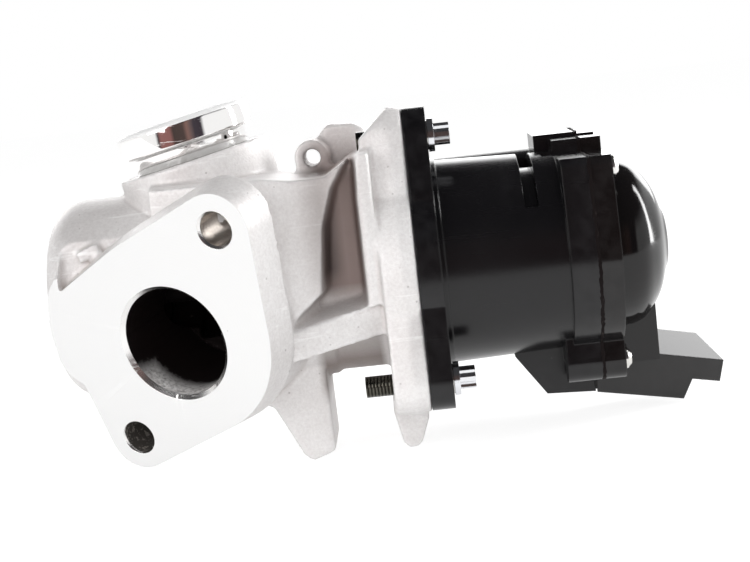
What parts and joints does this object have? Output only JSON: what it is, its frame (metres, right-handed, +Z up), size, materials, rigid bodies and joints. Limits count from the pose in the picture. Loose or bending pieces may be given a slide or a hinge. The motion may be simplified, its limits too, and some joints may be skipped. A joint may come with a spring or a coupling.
{
  "type": "egr valve",
  "caption": "Electric exhaust gas recirculation valve: cast body with diamond inlet flange and grooved outlet ring, black geared drive with dome and plug socket.",
  "frame": {"origin": "on the inlet bore's axis, where the bore meets the chamfer of its mouth", "axes": "+X along the valve stem from the gas chamber to the drive, +Z up as the part stands in use, +Y away from the inlet side"},
  "size_m": [0.1628, 0.0896, 0.0886],
  "materials": {
    "cast_aluminium": "as cast, satin",
    "polished_steel": "turned and polished",
    "machined_aluminium": "turned",
    "hard_steel": "ground",
    "plated_steel": "zinc plated",
    "pressed_steel": "pressed",
    "spring_steel": "oiled wire",
    "bronze": "sintered",
    "black_plastic": "moulded, satin",
    "black_gloss_plastic": "moulded, glossy dome",
    "dark_rubber": "matt",
    "gear_plastic": "moulded",
    "brass": "machined",
    "magnet": "sintered",
    "brush_plastic": "moulded",
    "armature_iron": "laminated",
    "circuit_board": "varnished"
  },
  "bodies": {
    "housing": {"valve_body": "cast_aluminium", "outlet_spigot": "polished_steel", "end_cap": "machined_aluminium", "valve_seat": "hard_steel", "stem_bush": "bronze", "stem_seal": "dark_rubber", "actuator_housing": "black_plastic", "cover_seal": "dark_rubber", "flange_seal": "dark_rubber", "bolt_sleeves": "plated_steel", "guide_sleeve": "hard_steel", "shaft_bush": "bronze", "idler_pin": "hard_steel", "motor_can": "pressed_steel", "motor_magnets": "magnet", "motor_brush_cap": "brush_plastic", "gear_cover": "black_gloss_plastic", "connector_pins": "brass", "position_sensor": "circuit_board", "flange_bolts": "plated_steel", "cover_screws": "plated_steel", "return_spring": "spring_steel"},
    "valve": {"poppet": "hard_steel", "follower_pin": "hard_steel", "retainer_clip": "hard_steel", "spring_retainer": "pressed_steel"},
    "cam": {"drive_gear": "gear_plastic", "cam_barrel": "hard_steel", "sensor_magnet": "magnet"},
    "idler": {"idler_gear": "gear_plastic"},
    "rotor": {"motor_shaft": "hard_steel", "motor_armature": "armature_iron", "motor_pinion": "brass"}
  },
  "joints": [
    {"name": "cam_turn", "type": "hinge", "parent": "housing", "child": "cam", "pos_m": [0.0882, 0.02944, 0.00806], "axis": [1, 0, 0], "range_deg": [0, 100]},
    {"name": "valve_slide", "type": "slide", "parent": "housing", "child": "valve", "axis": [-1, 0, 0], "range_m": [0, 0.006], "stiffness_N_per_m": 800, "springref_m": -0.006, "deforming": ["return_spring"]},
    {"name": "idler_turn", "type": "hinge", "parent": "housing", "child": "idler", "pos_m": [0.094, 0.04204, 0.02359], "axis": [1, 0, 0], "range_deg": [-320, 0]},
    {"name": "motor_turn", "type": "hinge", "parent": "housing", "child": "rotor", "pos_m": [0.0612, 0.05444, 0.01906], "axis": [1, 0, 0], "range_deg": [0, 850]}
  ],
  "couplings": [
    {"joint": "cam_turn", "follows": "valve_slide", "rad_per_m": 290.89},
    {"joint": "idler_turn", "follows": "valve_slide", "rad_per_m": -921.15},
    {"joint": "motor_turn", "follows": "valve_slide", "rad_per_m": 2456.4}
  ]
}
